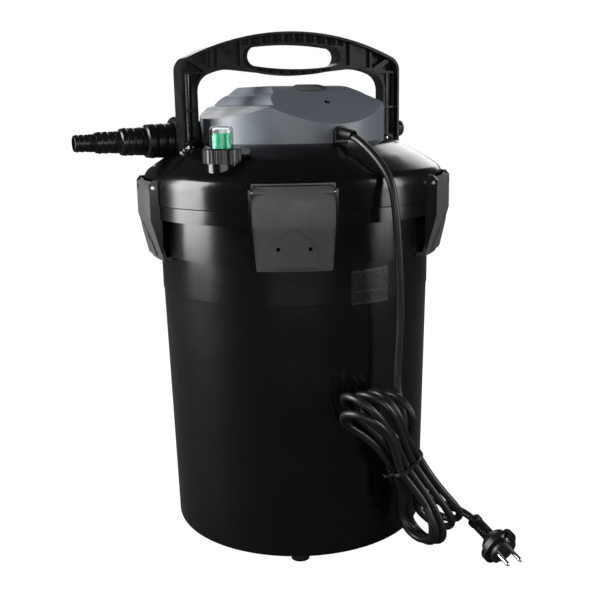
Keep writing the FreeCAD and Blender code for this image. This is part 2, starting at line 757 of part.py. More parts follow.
def make_rod_guides():
    guides = []
    for side in (-1, 1):
        spot = turned(S.handle_turn.value).multVec(Vector(side * S.rod_circle.value, 0, 0))
        sleeve = solid("Cylinder", "guide_sleeve", Radius=8, Height=20.8)
        place(sleeve, spot.x, spot.y, 444)
        bore = solid("Cylinder", "guide_bore", Radius=S.rod_radius + 0.05, Height=40)
        place(bore, spot.x, spot.y, 440)
        guides.append(cut("rod_guide", sleeve, bore))
    group = doc.addObject("Part::Compound", "rod_guide_group")
    group.Links = guides
    keep(group, "rod_guides")


def make_lock_knob():
    """Knurled screw that clamps the right-hand rod in the handle's leg; made along +Z, laid along +X."""
    owner = turned_body("lock_knob_body", [
        (0, 133.1), (3, 133.1), (3, S.handle_half + 0.6), (8.8, S.handle_half + 0.6),
        (9.8, S.handle_half + 1.6), (9.8, S.handle_half + 8), (7.5, S.handle_half + 10.8, 5),
        (0, S.handle_half + 10.8),
    ])
    sk = sketch_on(owner, "XY_Plane", "lock_knob_knurl")
    ring(sk, 0, 10.3, 1.0)
    groove = pull_feature(owner, "Pocket", sk, 200, both=False, back=True)
    pattern(owner, groove, 18)
    turn = turned(S.handle_turn.value)
    owner.Placement = Placement(Vector(0, 0, 480), turn.multiply(Rotation(Vector(0, 1, 0), 90)))
    keep(owner, "lock_knob")


# ---------------------------------------------------------------- UV lamp head

def make_lamp():
    keep(turned_body("lamp_head_body", [
        (S.sleeve_radius + 0.05, 440), (26, 440), (26, 452), (S.head_hole, 452), (S.head_hole, S.crown_top),
        (60, S.crown_top), (60, S.crown_top + 5), (58.5, S.crown_top + 6.5), (S.sleeve_radius + 0.05, S.crown_top + 6.5),
    ]), "lamp_head")
    keep(turned_body("sleeve_seal_body", [
        (S.sleeve_radius, 436), (26, 436), (26, 440), (S.sleeve_radius, 440),
    ]), "sleeve_seal")
    nut = turned_body("sleeve_nut_body", [
        (S.sleeve_radius + 0.3, 432), (31, 432), (31, 450), (26, 450), (26, 436), (S.sleeve_radius + 0.3, 436),
    ])
    keep(nut, "sleeve_nut")
    inner = S.sleeve_radius - 2
    keep(turned_body("quartz_sleeve_body", [
        (0, 130), (S.sleeve_radius, 151, S.sleeve_radius.value), (S.sleeve_radius, 476), (inner, 476),
        (inner, 151), (0, 132, -19),
    ]), "quartz_sleeve")
    tubes = []
    for side in (-1, 1):
        tube = solid("Cylinder", "lamp_tube", Radius=S.lamp_radius, Height=270)
        tubes.append(place(tube, side * 8.6, 0, 160))
    bridge = solid("Box", "lamp_bridge", Length=10, Width=7, Height=8)
    tubes.append(place(bridge, -5, -3.5, 164))
    base = solid("Cylinder", "lamp_base", Radius=17.5, Height=18)
    tubes.append(place(base, 0, 0, 428))
    keep(fuse("uv_lamp_part", tubes), "uv_lamp")
    keep(turned_body("lamp_socket_body", [
        (0, 446), (18, 446), (18, 476.5), (30, 476.5), (30, 480), (12, 480), (12, 486), (0, 486),
    ]), "lamp_socket")


def make_ballast():
    turn = turned(180 + S.hood_turn.value)
    box = pulled_body("ballast_body", "XY_Plane", [
        (-40, -90), (40, -90), (42, -88), (42, -64), (40, -62), (-40, -62), (-42, -64), (-42, -88),
    ], 22, both=False)
    box.Placement = Placement(Vector(0, 0, S.crown_top.value), turn)
    keep(box, "ballast")
    block = pulled_body("terminal_body", "XY_Plane", box_outline(-15, -82, 15, -64), 12, both=False)
    screws = sketch_on(block, "XY_Plane", "terminal_screws")
    for step in range(-1, 2):
        for y in (-78, -68):
            ring(screws, step * 9.5, y, 2.2)
    pull_feature(block, "Pocket", screws, 12, both=False, back=True)
    block.Placement = Placement(Vector(0, 0, S.crown_top.value), turned(S.hood_turn.value))
    keep(block, "terminal_block")


# ---------------------------------------------------------------- hood

def facet_profile(inset):
    """Section of a sloped hood facet: (distance from the axis, height)."""
    drop = 1.22 * inset
    return [(36, S.hood_top - 0.2 - drop), (52, 528 - drop, -26), (63, 521.3 - drop, -60),
            (109.5, 489.4 - drop, -420)]


def scoop_profile(inset):
    """Section of the hand scoop on the hood's left: a steep wall down to a sloping ledge."""
    drop = 1.1 * inset
    return [(49 - inset, S.hood_top + 1), (54 - inset, 524 - drop), (65 - inset, 511.5 - drop, 16),
            (79, 506.5 - drop, 45), (93, 501.5 - drop), (109.5, 497 - drop)]


def hood_form(name, inset, foot):
    """The hood's outer form, or its cavity when inset by the wall."""
    side = S.hood_radius - inset
    owner = turned_body(name, [
        (0, foot), (side, foot), (side, S.hood_top - 3 - inset), (side - 6, S.hood_top - inset),
        (0, S.hood_top - inset),
    ])
    facet = sketch_on(owner, "YZ_Plane", name + "_facet")
    points = [tuple([-p[0]] + [p[1]] + [-q for q in p[2:]]) for p in facet_profile(inset)]
    outline(facet, [(-36, 545)] + points[:1] + points[1:] + [(-125, 489), (-125, 545)])
    slope = pull_feature(owner, "Pocket", facet, 260)
    pattern(owner, slope, 3, 180.0)
    scoop = sketch_on(owner, "XZ_Plane", name + "_scoop")
    points = [tuple([-dim(p[0])] + [p[1]] + list(p[2:])) for p in scoop_profile(inset)]
    outline(scoop, [(-(49 - inset), 550)] + points + [(-125, 495), (-125, 550)])
    pull_feature(owner, "Pocket", scoop, 260)
    return owner


def make_hood():
    outer = hood_form("hood_outer", 0.0, S.crown_top)
    inner = hood_form("hood_inner", S.hood_wall.value, S.crown_top - 1)
    turn = turned(S.hood_turn.value)
    for form in (outer, inner):
        form.Placement = Placement(Vector(), turn)
    tools = [inner]
    for name, port_turn, offset, start in PORTS:
        notch = solid("Cylinder", name + "_notch", Radius=S.port_radius + 0.3, Height=60)
        tools.append(port_place(notch, port_turn, offset, 80))
    gland = pulled_body("gland_notch", "XZ_Plane", gland_outline(0.0), 20, both=False)
    gland.Placement = Placement(turn.multVec(Vector(0, -98, 0)), turn)
    tools.append(gland)
    window = solid("Cylinder", "window_hole", Radius=3.4, Height=30)
    window.Placement = window_place(-18)
    tools.append(window)
    for x in SCREW_SPOTS:
        hole = solid("Cylinder", "screw_hole", Radius=4.2, Height=60)
        hole.Placement = Placement(turn.multVec(Vector(x[0], x[1], 497)), Rotation())
        tools.append(hole)
    keep(cut("hood_part", outer, fuse("hood_tools", tools)), "hood")


SCREW_SPOTS = ((72, 12), (-12, 72))      # hood screws on the two facets that face away from the front


def make_hood_screws():
    parts = []
    turn = turned(S.hood_turn.value)
    for x, y in SCREW_SPOTS:
        post = solid("Cylinder", "screw_post", Radius=4.2, Height=27)
        post.Placement = Placement(turn.multVec(Vector(x, y, S.crown_top.value)), Rotation())
        head = solid("Cone", "screw_head", Radius1=4.2, Radius2=3.2, Height=2.4)
        head.Placement = Placement(turn.multVec(Vector(x, y, S.crown_top.value + 27)), Rotation())
        slot = solid("Box", "screw_slot", Length=6, Width=1.0, Height=3)
        slot.Placement = Placement(turn.multVec(Vector(x - 3, y - 0.5, S.crown_top.value + 28)), turn)
        parts.append(cut("hood_screw", fuse("screw_solid", [post, head]), slot))
    group = doc.addObject("Part::Compound", "hood_screw_group")
    group.Links = parts
    keep(group, "hood_screws")


FACET_TILT = 34.4     # slope of the hood's facets at the lamp window, in degrees


def window_place(depth):
    """The lamp window's axis, square to the front facet."""
    turn = turned(S.hood_turn.value)
    tilt = turn.multiply(Rotation(Vector(1, 0, 0), FACET_TILT))
    outward = tilt.multVec(Vector(0, 0, 1))
    spot = turn.multVec(Vector(4.0, -75.5, 512.97))
    return Placement(spot + outward * depth, tilt)


def make_window():
    lens = turned_body("uv_window_body", [
        (0, -8), (3.4, -8), (3.4, 0.3), (2.5, 1.1, 1.2), (0, 1.1),
    ])
    lens.Placement = window_place(0)
    keep(lens, "uv_window")


def make_badge():
    """Plain oval plate on the hood's crown."""
    owner = body("badge_body")
    sk = sketch_on(owner, "XY_Plane", "badge_oval")
    half, width = 11, 9
    outline(sk, [(-half, -width, width), (half, -width), (half + width, 0, width), (half, width, width),
                 (-half, width), (-half - width, 0, width)])
    pull_feature(owner, "Pad", sk, 2.2, both=False)
    turn = turned(S.hood_turn.value)
    tilt = turn.multiply(Rotation(Vector(1, 0, 0), 22.0))
    owner.Placement = Placement(turn.multVec(Vector(-2, -47.9, 528.1)), tilt)
    keep(owner, "hood_badge")


def gland_outline(grow):
    """Arch-topped boss around the lead's way out."""
    half = 8.5 + grow
    return [(-half, S.crown_top), (half, S.crown_top), (half, 479.5), (0, 479.5 + half, half),
            (-half, 479.5, half)]


def make_gland():
    turn = turned(S.hood_turn.value)
    owner = pulled_body("gland_body", "XZ_Plane", gland_outline(0.0), 12, both=False)
    bore = sketch_on(owner, "XZ_Plane", "gland_bore")
    ring(bore, 0, 480, S.cord_radius + 0.05)
    pull_feature(owner, "Pocket", bore, 40, both=False, back=True)
    owner.Placement = Placement(turn.multVec(Vector(0, -101, 0)), turn)
    keep(owner, "cable_gland")


# ---------------------------------------------------------------- hose tails and union nuts

TAIL_STEPS = ((10, 252.0, 227.5), (12.5, 227.5, 198.8), (16, 198.8, 168.8), (20, 168.8, 128.1))


def tail_outline():
    """Stepped hose tail: each step has saw-tooth barbs and a plain land at its full size."""
    points = [(S.port_bore, S.port_end + 2), (S.port_thread - 0.1, S.port_end + 2), (S.port_thread - 0.1, 128.1)]
    for radius, tip, root in reversed(TAIL_STEPS):
        land = 7.0
        count = 3
        pitch = (tip - root - land) / count
        points.append((radius, root + (0.0 if radius == 20 else 1.2)))
        points.append((radius, root + land))
        for tooth in range(count):
            start = root + land + pitch * tooth
            points.append((radius - 1.1, start + 0.2))
            points.append((radius - 0.1, start + pitch * 0.25))
            points.append((radius - 1.1 if tooth == count - 1 else radius - 0.8, start + pitch - 0.4))
    points += [(7.4, 252.0), (7.4, 200.0), (13, 190.0), (13, 165.0)]
    return points


def make_port_fittings():
    for name, turn, offset, start in PORTS:
        gasket = turned_body(name + "_gasket_body", [
            (S.port_bore, S.port_end), (S.port_thread - 0.5, S.port_end),
            (S.port_thread - 0.5, S.port_end + 2), (S.port_bore, S.port_end + 2),
        ])
        keep(port_place(gasket, turn, offset), name + "_gasket")
        tail = turned_body(name + "_tail_body", tail_outline())
        keep(port_place(tail, turn, offset), name + "_tail")
        bore, neck = S.port_thread + 0.05, dim(20.06)
        nut = turned_body(name + "_nut_body", [
            (bore, 111), (S.nut_radius - 1.5, 111), (S.nut_radius, 112.5), (S.nut_radius, 133),
            (S.nut_radius - 3, 137, 5), (neck, 137), (neck, 128.2), (bore, 128.2),
        ])
        grips = sketch_on(nut, "XY_Plane", name + "_nut_grips")
        ring(grips, 0, S.nut_radius + 2.6, 4)
        flute = pull_feature(nut, "Pocket", grips, 133, both=False, back=True)
        pattern(nut, flute, 16)
        keep(port_place(nut, turn, offset), name + "_nut")


# ---------------------------------------------------------------- flow indicator

def make_indicator():
    centre = gauge_centre()
    floor = S.gauge_floor
    spot = Placement(centre, Rotation())

    def put(owner, label):
        owner.Placement = spot
        return keep(owner, label)

    put(turned_body("gauge_seal_body", [
        (13.2, floor + 10.6), (15.8, floor + 10.6), (15.8, floor + 12), (13.2, floor + 12),
    ]), "indicator_seal")
    wall = 1.6
    put(turned_body("gauge_dome_body", [
        (S.dome_radius - wall, floor + 12), (15.8, floor + 12), (15.8, floor + 14), (S.dome_radius, floor + 14),
        (S.dome_radius, S.dome_top - 4), (S.dome_radius - 4, S.dome_top, 4), (0, S.dome_top),
        (0, S.dome_top - wall), (S.dome_radius - 4.4, S.dome_top - wall), (S.dome_radius - wall, S.dome_top - 4.2, -2.9),
    ]), "indicator_dome")
    put(turned_body("gauge_float_body", [
        (0, floor + 2), (5, floor + 2), (5, floor + 12.2), (9.6, floor + 12.2), (9.6, floor + 30.5),
        (8.6, floor + 31.5), (0, floor + 31.5),
    ]), "indicator_float")
    nut = turned_body("gauge_nut_body", [
        (16.05, floor + 0.8), (20.8, floor + 0.8), (20.8, floor + 15), (19.6, floor + 16.2),
        (S.dome_radius + 0.15, floor + 16.2), (S.dome_radius + 0.15, floor + 14.1), (16.05, floor + 14.1),
    ])
    grips = sketch_on(nut, "XY_Plane", "gauge_nut_grips")
    ring(grips, 0, 21.7, 2.3)
    flute = pull_feature(nut, "Pocket", grips, S.gauge_floor + 15, both=False, back=True)
    pattern(nut, flute, 22)
    tab = sketch_on(nut, "XZ_Plane", "gauge_nut_tab")
    outline(tab, [(18.5, floor + 9.6), (26.5, floor + 9.6), (29.6, floor + 12.7, 3.1), (26.5, floor + 15.8, 3.1),
                  (18.5, floor + 15.8)])
    pull_feature(nut, "Pad", tab, 3.6)
    put(nut, "indicator_nut")


# ---------------------------------------------------------------- mains lead

def chosen_route(points, radius, name):
    """Tube along straight runs joined by tangent arcs, as a Part feature, with its radii printed."""
    spots = [Vector(*p) for p in points]
    edges = []
    length = 0.0
    start = spots[0]
    for before, corner, after in zip(spots, spots[1:], spots[2:]):
        arriving = (corner - before).normalize()
        leaving = (after - corner).normalize()
        half_turn = arriving.getAngle(leaving) / 2
        reach = 0.45 * min((corner - before).Length, (after - corner).Length)
        bend = reach / math.tan(half_turn)
        enter = corner - arriving * reach
        leave = corner + leaving * reach
        centre = corner + (leaving - arriving).normalize() * (bend / math.cos(half_turn))
        middle = centre + (corner - centre).normalize() * bend
        edges.append(Part.LineSegment(start, enter).toShape())
        edges.append(Part.Arc(enter, middle, leave).toShape())
        length += (enter - start).Length + 2 * half_turn * bend
        start = leave
        print("%s bend radius %.0f mm, %.1f diameters" % (name, bend, bend / (2 * radius)))
    edges.append(Part.LineSegment(start, spots[-1]).toShape())
    length += (spots[-1] - start).Length
    path = Part.Wire(edges)
    disc = Part.Wire([Part.Circle(spots[0], spots[1] - spots[0], radius).toShape()])
    pipe = path.makePipeShell([disc], True, False)
    expected = math.pi * radius * radius * length
    print("%s length %.0f mm, volume %.0f against %.0f" % (name, length, pipe.Volume, expected))
    assert abs(pipe.Volume / expected - 1) < 0.01
    thing = doc.addObject("Part::Feature", name + "_part")
    thing.Shape = pipe
    return thing


LEAD_ROUTE = [
    (51.4, -94.8, 480.1), (62.5, -112.5, 478.8), (75.0, -128.0, 469.5), (89.0, -143.5, 454.0),
    (101.0, -157.0, 434.0), (105.0, -161.5, 407.0), (108.0, -160.0, 373.0), (110.5, -156.0, 333.0),
    (112.0, -152.0, 290.0), (110.5, -149.0, 247.0), (108.5, -146.5, 208.0),
]
TAIL_ROUTE = [(178.0, -97.0, 42.0), (190.0, -106.0, 41.0), (201.0, -118.0, 36.7)]
PLUG_WAY = Vector(0.483, -0.806, -0.342)
PLUG_ROLL = 28


def hank_frame():
    turn = turned(S.hank_turn.value)
    return Placement(turn.multVec(Vector(0, -S.hank_offset.value, 0)), turn)


def make_lead():
    keep(chosen_route(LEAD_ROUTE, S.cord_radius.value, "power_cord"), "power_cord")
    keep(chosen_route(TAIL_ROUTE, S.cord_radius.value, "cord_tail"), "cord_tail")
    boot = turned_body("cord_boot_body", [
        (S.cord_radius, 6), (6.4, 6), (6.4, 9), (5.2, 26), (S.cord_radius, 26),
    ])
    way = Vector(*LEAD_ROUTE[1]) - Vector(*LEAD_ROUTE[0])
    boot.Placement = Placement(Vector(*LEAD_ROUTE[0]), Rotation(Vector(0, 0, 1), way))
    keep(boot, "cord_boot")
    hank = pulled_body("hank_body", "XZ_Plane", [
        (102, 1.5), (124, 40), (113, 66), (86, 92), (58, 118), (50, 140), (42, 172), (36, 207),
        (4, 213), (-36, 213), (-44, 196), (-34, 178), (4, 133), (17, 112), (29, 86), (44, 58),
        (64, 20), (78, 4),
    ], S.hank_thick)
    hank.Placement = hank_frame()
    keep(hank, "cord_hank")
    outer = solid("Box", "tie_outer", Length=50, Width=30, Height=5)
    inner = solid("Box", "tie_inner", Length=46, Width=26, Height=7)
    place(outer, -25, -15, -2.5)
    place(inner, -23, -13, -3.5)
    tie = cut("tie_part", outer, inner)
    lean = hank_frame().multiply(Placement(Vector(38, 0, 114), Rotation(Vector(0, 1, 0), -24)))
    tie.Placement = lean
    keep(tie, "cord_tie")


def make_plug():
    ribs = []
    for step in range(4):
        low = 11 + 4.6 * step
        ribs += [(7.4, low), (7.4, low + 2.6), (6.0, low + 2.8), (6.0, low + 4.4)]
    profile = [(0, 0), (5.2, 0), (8.2, 2.2), (8.2, 8), (6.0, 9.5), (6.0, 10.8)] + ribs + [
        (9, 31), (15, 36), (17.6, 42), (S.plug_flange, 43.5), (S.plug_flange, 50), (16.8, 50.2),
        (16.8, 56), (0, 56),
    ]
    owner = turned_body("plug_body_body", profile)
    notches = sketch_on(owner, "XY_Plane", "plug_notches")
    for side in (-1, 1):
        edge = side * S.plug_flange.value
        outline(notches, [(-3.2, edge + side * 4), (3.2, edge + side * 4), (3.2, side * 14.4), (-3.2, side * 14.4)]
                if side < 0 else [(3.2, edge + 4), (-3.2, edge + 4), (-3.2, 14.4), (3.2, 14.4)])
    pull_feature(owner, "Pocket", notches, 70, both=False, back=True)
    frame = Placement(Vector(*TAIL_ROUTE[-1]), Rotation(Vector(0, 0, 1), PLUG_WAY))
    frame = frame.multiply(Placement(Vector(), Rotation(Vector(0, 0, 1), PLUG_ROLL)))
    owner.Placement = frame
    keep(owner, "plug_body")
    pins = []
    clips = []
    for side in (-1, 1):
        pin = solid("Cylinder", "plug_pin", Radius=S.plug_pin_radius, Height=16.6)
        pin.Placement = frame.multiply(Placement(Vector(side * S.plug_pin_pitch.value / 2, 0, 56), Rotation()))
        tip = solid("Cone", "plug_pin_tip", Radius1=S.plug_pin_radius, Radius2=1.2, Height=2.4)
        tip.Placement = frame.multiply(Placement(Vector(side * S.plug_pin_pitch.value / 2, 0, 72.6), Rotation()))
        pins.append(fuse("plug_pin_solid", [pin, tip]))
        clip = solid("Box", "earth_clip", Length=5, Width=1.2, Height=13)
        spot = Vector(-2.5, 14.4 if side > 0 else -15.6, 43)
        clip.Placement = frame.multiply(Placement(spot, Rotation()))
        clips.append(clip)
    for label, members in (("plug_pins", pins), ("plug_earth_clips", clips)):
        group = doc.addObject("Part::Compound", label + "_group")
        group.Links = members
        keep(group, label)


# ---------------------------------------------------------------- build, check and write

make_canister()
make_feet()
make_rating_plate()
make_lid()
make_lid_seal()
for number in range(int(S.clamp_count.value)):
    make_clamp(number)
make_clamp_pins()
make_handle()
make_rods()
make_rod_nuts()
make_rod_guides()
make_lock_knob()
grid_plate("press_plate", 143, S.press_height.value, 5, S.tube_radius + 0.6, S.rod_radius)
grid_plate("top_grid", 156.5, 388, 5, S.tube_radius, S.rod_radius + 0.6)
make_foam()
make_centre_tube()
make_lamp()
make_ballast()
make_hood()
make_hood_screws()
make_window()
make_badge()
make_gland()
make_port_fittings()
make_indicator()
make_lead()
make_plug()
doc.recompute()

faults = [t.Name + " " + t.Label for t in doc.Objects if "Invalid" in t.State or "Error" in t.State]
for thing in nodes:
    shape = thing.Shape
    if shape.isNull() or not shape.isValid() or not shape.Solids:
        faults.append("bad shape " + thing.Label)
        continue
    shape.exportStep("parts/%s.step" % thing.Label)
    box = shape.BoundBox
    print("%-18s solids %d volume %9.0f  x %.1f %.1f  y %.1f %.1f  z %.1f %.1f" % (
        thing.Label, len(shape.Solids), shape.Volume, box.XMin, box.XMax, box.YMin, box.YMax,
        box.ZMin, box.ZMax))
print("nodes", len(nodes))
if faults:
    raise RuntimeError("; ".join(faults))
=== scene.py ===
"""Looks for the pressurised pond filter: materials on the CAD nodes, the free mains lead with its tied hank,
the wire tie, and a small studio. Metres, in the CAD's own frame: +Z up, front towards -Y."""

import math

import bpy
from mathutils import Matrix, Vector


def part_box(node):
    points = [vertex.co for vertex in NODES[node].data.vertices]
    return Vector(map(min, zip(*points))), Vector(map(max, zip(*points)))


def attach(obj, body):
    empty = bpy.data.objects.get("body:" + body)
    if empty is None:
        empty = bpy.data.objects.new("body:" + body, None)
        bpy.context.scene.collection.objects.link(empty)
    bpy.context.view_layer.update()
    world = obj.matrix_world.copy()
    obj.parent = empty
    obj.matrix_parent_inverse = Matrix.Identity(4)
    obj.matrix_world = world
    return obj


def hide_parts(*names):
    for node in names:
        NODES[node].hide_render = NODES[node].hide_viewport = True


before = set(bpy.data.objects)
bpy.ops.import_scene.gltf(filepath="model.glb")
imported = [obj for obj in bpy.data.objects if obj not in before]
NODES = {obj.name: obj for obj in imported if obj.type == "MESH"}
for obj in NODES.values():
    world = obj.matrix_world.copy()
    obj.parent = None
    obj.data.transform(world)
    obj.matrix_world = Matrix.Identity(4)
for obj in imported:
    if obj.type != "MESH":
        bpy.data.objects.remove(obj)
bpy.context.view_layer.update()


# ---------------------------------------------------------------- materials

class Mat:
    """A small wrapper that keeps a node material's set-up short."""

    def __init__(self, name, color, rough, metallic=0.0, ior=1.47, transmission=0.0):
        self.mat = bpy.data.materials.new(name)
        self.mat.use_nodes = True
        self.tree = self.mat.node_tree
        self.bsdf = self.tree.nodes["Principled BSDF"]
        self.bsdf.inputs["Base Color"].default_value = (*color, 1)
        self.bsdf.inputs["Roughness"].default_value = rough
        self.bsdf.inputs["Metallic"].default_value = metallic
        self.bsdf.inputs["IOR"].default_value = ior
        self.bsdf.inputs["Transmission Weight"].default_value = transmission
        self.coords = self.tree.nodes.new("ShaderNodeTexCoord").outputs["Object"]
        self.height = None

    def node(self, kind, **inputs):
        made = self.tree.nodes.new(kind)
        for key, value in inputs.items():
            self.feed(made.inputs[key.replace("_", " ")], value)
        return made

    def feed(self, socket, value):
        if isinstance(value, bpy.types.NodeSocket):
            self.tree.links.new(value, socket)
        else:
            socket.default_value = value

    def noise(self, scale, detail=3.0, rough=0.5, stretch=None):
        """Noise in object space, scale per metre; stretch squeezes it along X, Y and Z."""
        vector = self.coords
        if stretch:
            vector = self.node("ShaderNodeMapping", Vector=vector, Scale=stretch).outputs["Vector"]
        return self.node("ShaderNodeTexNoise", Vector=vector, Scale=scale, Detail=detail,
                         Roughness=rough).outputs["Fac"]

    def spread(self, fac, low, high, start=0.3, end=0.7):
        """A 0..1 factor mapped to a range."""
        made = self.node("ShaderNodeMapRange", Value=fac)
        for key, value in (("From Min", start), ("From Max", end), ("To Min", low), ("To Max", high)):
            made.inputs[key].default_value = value
        return made.outputs["Result"]

    def mix(self, fac, a, b):
        """A colour between a and b; the Mix node's colour sockets are its inputs 6 and 7 and output 2."""
        made = self.tree.nodes.new("ShaderNodeMix")
        made.data_type = "RGBA"
        self.feed(made.inputs[0], fac)
        self.feed(made.inputs[6], (*a, 1))
        self.feed(made.inputs[7], (*b, 1))
        return made.outputs[2]

    def bump(self, height, depth, strength=1.0):
        """Bumps stack; depth is in metres."""
        made = self.node("ShaderNodeBump", Height=height, Strength=strength, Distance=depth)
        if self.height:
            self.tree.links.new(self.height, made.inputs["Normal"])
        self.height = made.outputs["Normal"]
        self.tree.links.new(self.height, self.bsdf.inputs["Normal"])

    def arith(self, operation, a, b=0.0):
        """One arithmetic node on sockets or numbers."""
        made = self.tree.nodes.new("ShaderNodeMath")
        made.operation = operation
        self.feed(made.inputs[0], a)
        self.feed(made.inputs[1], b)
        return made.outputs[0]

    def color(self, value):
        self.feed(self.bsdf.inputs["Base Color"], value)

    def rough(self, value):
        self.feed(self.bsdf.inputs["Roughness"], value)


def gloss_black():
    """Blow-moulded gloss plastic: slow waviness, faint handling haze."""
    m = Mat("gloss_black", (0.003, 0.003, 0.0032), 0.2, ior=1.42)
    m.rough(m.spread(m.noise(14, 4, 0.6), 0.15, 0.24))
    m.color(m.mix(m.noise(5, 3), (0.0022, 0.0022, 0.0023), (0.0036, 0.0036, 0.0038)))
    m.bump(m.noise(9, 2, 0.4), 0.0012, 0.5)
    m.bump(m.noise(900, 2), 0.00002, 0.4)
    return m.mat


def satin_black():
    """Injection-moulded satin plastic with a fine grain."""
    m = Mat("satin_black", (0.007, 0.007, 0.008), 0.3, ior=1.45)
    m.rough(m.spread(m.noise(60, 4), 0.24, 0.36))
    m.color(m.mix(m.noise(12, 3), (0.005, 0.005, 0.0055), (0.008, 0.008, 0.0085)))
    m.bump(m.noise(1500, 2), 0.00003, 0.5)
    return m.mat


def hood_grey():
    """Blue-grey moulded plastic of the hood."""
    m = Mat("hood_grey", (0.12, 0.13, 0.15), 0.34)
    m.rough(m.spread(m.noise(40, 4), 0.35, 0.45))
    m.color(m.mix(m.noise(8, 3), (0.116, 0.133, 0.156), (0.134, 0.152, 0.176)))
    m.bump(m.noise(1800, 2), 0.00003, 0.6)
    m.bump(m.noise(25, 2), 0.0004, 0.2)
    return m.mat


def clamp_grey():
    """Neutral grey moulded plastic of the clamps, with a fine spark-eroded grain."""
    m = Mat("clamp_grey", (0.07, 0.071, 0.074), 0.46)
    m.rough(m.spread(m.noise(60, 4), 0.42, 0.54))
    m.color(m.mix(m.noise(10, 3), (0.062, 0.063, 0.066), (0.074, 0.075, 0.078)))
    m.bump(m.noise(1100, 3, 0.7), 0.00006, 0.7)
    return m.mat


def badge_grey():
    """Dark blank badge set into the hood."""
    m = Mat("badge_grey", (0.045, 0.046, 0.05), 0.3)
    m.rough(m.spread(m.noise(200, 3), 0.26, 0.38))
    m.bump(m.noise(2500, 2), 0.00002, 0.4)
    return m.mat


def soft_rubber():
    """Mains lead and plug: dull black rubber with a slight bloom."""
    m = Mat("soft_rubber", (0.008, 0.008, 0.008), 0.4, ior=1.48)
    m.rough(m.spread(m.noise(90, 4), 0.32, 0.46))
    m.color(m.mix(m.noise(30, 4), (0.006, 0.006, 0.006), (0.011, 0.011, 0.011)))
    m.bump(m.noise(1400, 3), 0.00004, 0.5)
    return m.mat


def steel():
    """Drawn steel of the rods, pins and screws."""
    m = Mat("steel", (0.62, 0.62, 0.63), 0.22, metallic=1.0)
    m.rough(m.spread(m.noise(200, 3, stretch=(1, 1, 0.05)), 0.16, 0.3))
    m.bump(m.noise(1500, 2, stretch=(1, 1, 0.03)), 0.00002, 0.3)
    return m.mat


def nickel():
    """Nickel-plated plug pins."""
    m = Mat("nickel", (0.68, 0.67, 0.64), 0.25, metallic=1.0)
    m.rough(m.spread(m.noise(300, 3), 0.18, 0.32))
    return m.mat


def clear_plastic():
    """Thin clear plastic of the indicator's dome and the lamp's window."""
    m = Mat("clear_plastic", (0.95, 0.97, 0.97), 0.05, ior=1.22, transmission=1.0)
    m.rough(m.spread(m.noise(120, 3), 0.02, 0.06))
    return m.mat


def float_green():
    """Bright green float, a little translucent, with a faint painted glow from its emission."""
    m = Mat("float_green", (0.0, 0.42, 0.2), 0.3)
    m.color(m.mix(m.noise(60, 2), (0.0, 0.40, 0.19), (0.01, 0.48, 0.24)))
    m.bsdf.inputs["Subsurface Weight"].default_value = 0.1
    # Painted glow: a faint emission brightens the float, which is no lamp.
    m.bsdf.inputs["Emission Color"].default_value = (0.0, 0.5, 0.25, 1)
    m.bsdf.inputs["Emission Strength"].default_value = 0.12
    m.bump(m.noise(900, 2), 0.00003, 0.4)
    return m.mat


def foam_blue():
    """Open-cell filter foam, its pores darkened by painted shade."""
    m = Mat("foam_blue", (0.02, 0.07, 0.2), 0.9)
    cells = m.node("ShaderNodeTexVoronoi", Vector=m.coords, Scale=420.0).outputs["Distance"]
    # Painted shade: the colour runs dark in the cell pits and lighter on their rims, following the bump's
    # height.
    m.color(m.mix(m.spread(cells, 0, 1, 0.1, 0.6), (0.005, 0.02, 0.06), (0.03, 0.1, 0.26)))
    m.bump(cells, 0.0012, 1.0)
    return m.mat


def quartz_glass():
    """Quartz of the lamp and its sleeve."""
    m = Mat("quartz_glass", (0.9, 0.94, 0.96), 0.05, ior=1.46, transmission=1.0)
    m.rough(m.spread(m.noise(80, 3), 0.03, 0.09))
    return m.mat


def pale_plastic():
    """Off-white plastic of the lamp socket and the terminal block."""
    m = Mat("pale_plastic", (0.72, 0.71, 0.68), 0.4)
    m.rough(m.spread(m.noise(80, 3), 0.34, 0.5))
    m.bump(m.noise(1500, 2), 0.00003, 0.4)
    return m.mat


def blank_plate():
    """Dark blank rating plate with thin pale lines, placed by its own height."""
    m = Mat("blank_plate", (0.02, 0.02, 0.022), 0.3)
    m.rough(m.spread(m.noise(300, 3), 0.24, 0.4))
    split = m.node("ShaderNodeSeparateXYZ", Vector=m.coords)
    low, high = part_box("rating_plate")
    inset, line, divider = 0.0016, 0.0006, 0.38
    height = split.outputs["Z"]
    total = 0.0
    for at in (low[2] + inset, high[2] - inset, low[2] + divider * (high[2] - low[2])):
        gap = m.arith("ABSOLUTE", m.arith("SUBTRACT", height, at))
        total = m.arith("MAXIMUM", total, m.arith("LESS_THAN", gap, line))
    m.color(m.mix(total, (0.008, 0.008, 0.009), (0.03, 0.03, 0.033)))
    return m.mat


